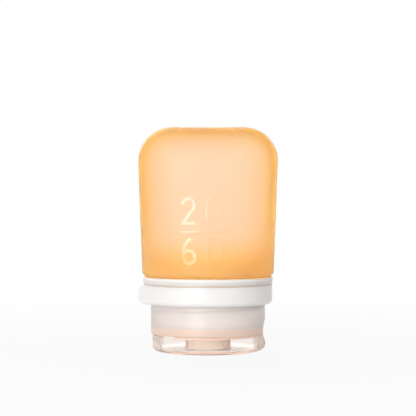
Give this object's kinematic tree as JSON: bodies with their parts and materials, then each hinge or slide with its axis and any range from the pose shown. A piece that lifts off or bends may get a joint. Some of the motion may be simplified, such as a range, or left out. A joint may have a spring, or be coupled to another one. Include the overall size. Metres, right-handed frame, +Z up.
{
  "type": "travel squeeze bottle",
  "caption": "Soft silicone travel squeeze bottle that stands on its flip-top screw cap, with a threaded neck, slit valve, gasket and a hinged band with a pull tab.",
  "frame": {"origin": "middle of the lid's flat outer face, on which the bottle stands", "axes": "+Z up along the bottle's axis; the front faces -Y; the lid opens towards -X and its finger lip is at +X"},
  "size_m": [0.046, 0.043, 0.0732],
  "materials": {
    "orange_silicone": "satin, slightly translucent",
    "white_plastic": "satin",
    "translucent_plastic": "hazy, translucent",
    "clear_plastic": "clear, glossy",
    "seal_silicone": "satin",
    "valve_silicone": "satin, milky",
    "pin_plastic": "satin"
  },
  "bodies": {
    "bottle": {"bottle_body": "orange_silicone", "collar_ring": "white_plastic", "threaded_neck": "white_plastic"},
    "seal": {"cap_seal": "seal_silicone"},
    "cap": {"cap_base": "translucent_plastic", "outlet_valve": "valve_silicone", "valve_retainer": "translucent_plastic", "strap_anchor": "white_plastic", "lid_hinge_pin": "pin_plastic", "strap_hinge_pin": "pin_plastic"},
    "lid": {"flip_lid": "clear_plastic"},
    "strap": {"loop_strap": "white_plastic"}
  },
  "joints": [
    {"name": "cap_lift", "type": "slide", "parent": "bottle", "child": "seal", "axis": [0, 0, -1], "range_m": [0, 0.0068]},
    {"name": "cap_turn", "type": "hinge", "parent": "seal", "child": "cap", "pos_m": [0, 0, 0.0124], "axis": [0, 0, -1], "range_deg": [0, 720]},
    {"name": "lid_hinge", "type": "hinge", "parent": "cap", "child": "lid", "pos_m": [-0.0172, 0, 0.00405], "axis": [0, 1, 0], "range_deg": [0, 110]},
    {"name": "strap_hinge", "type": "hinge", "parent": "cap", "child": "strap", "pos_m": [0.01784, 0.0103, 0.01858], "axis": [0, 0, 1], "range_deg": [0, 120]}
  ],
  "couplings": [
    {"joint": "cap_lift", "follows": "cap_turn", "m_per_rad": 0.00054113}
  ]
}
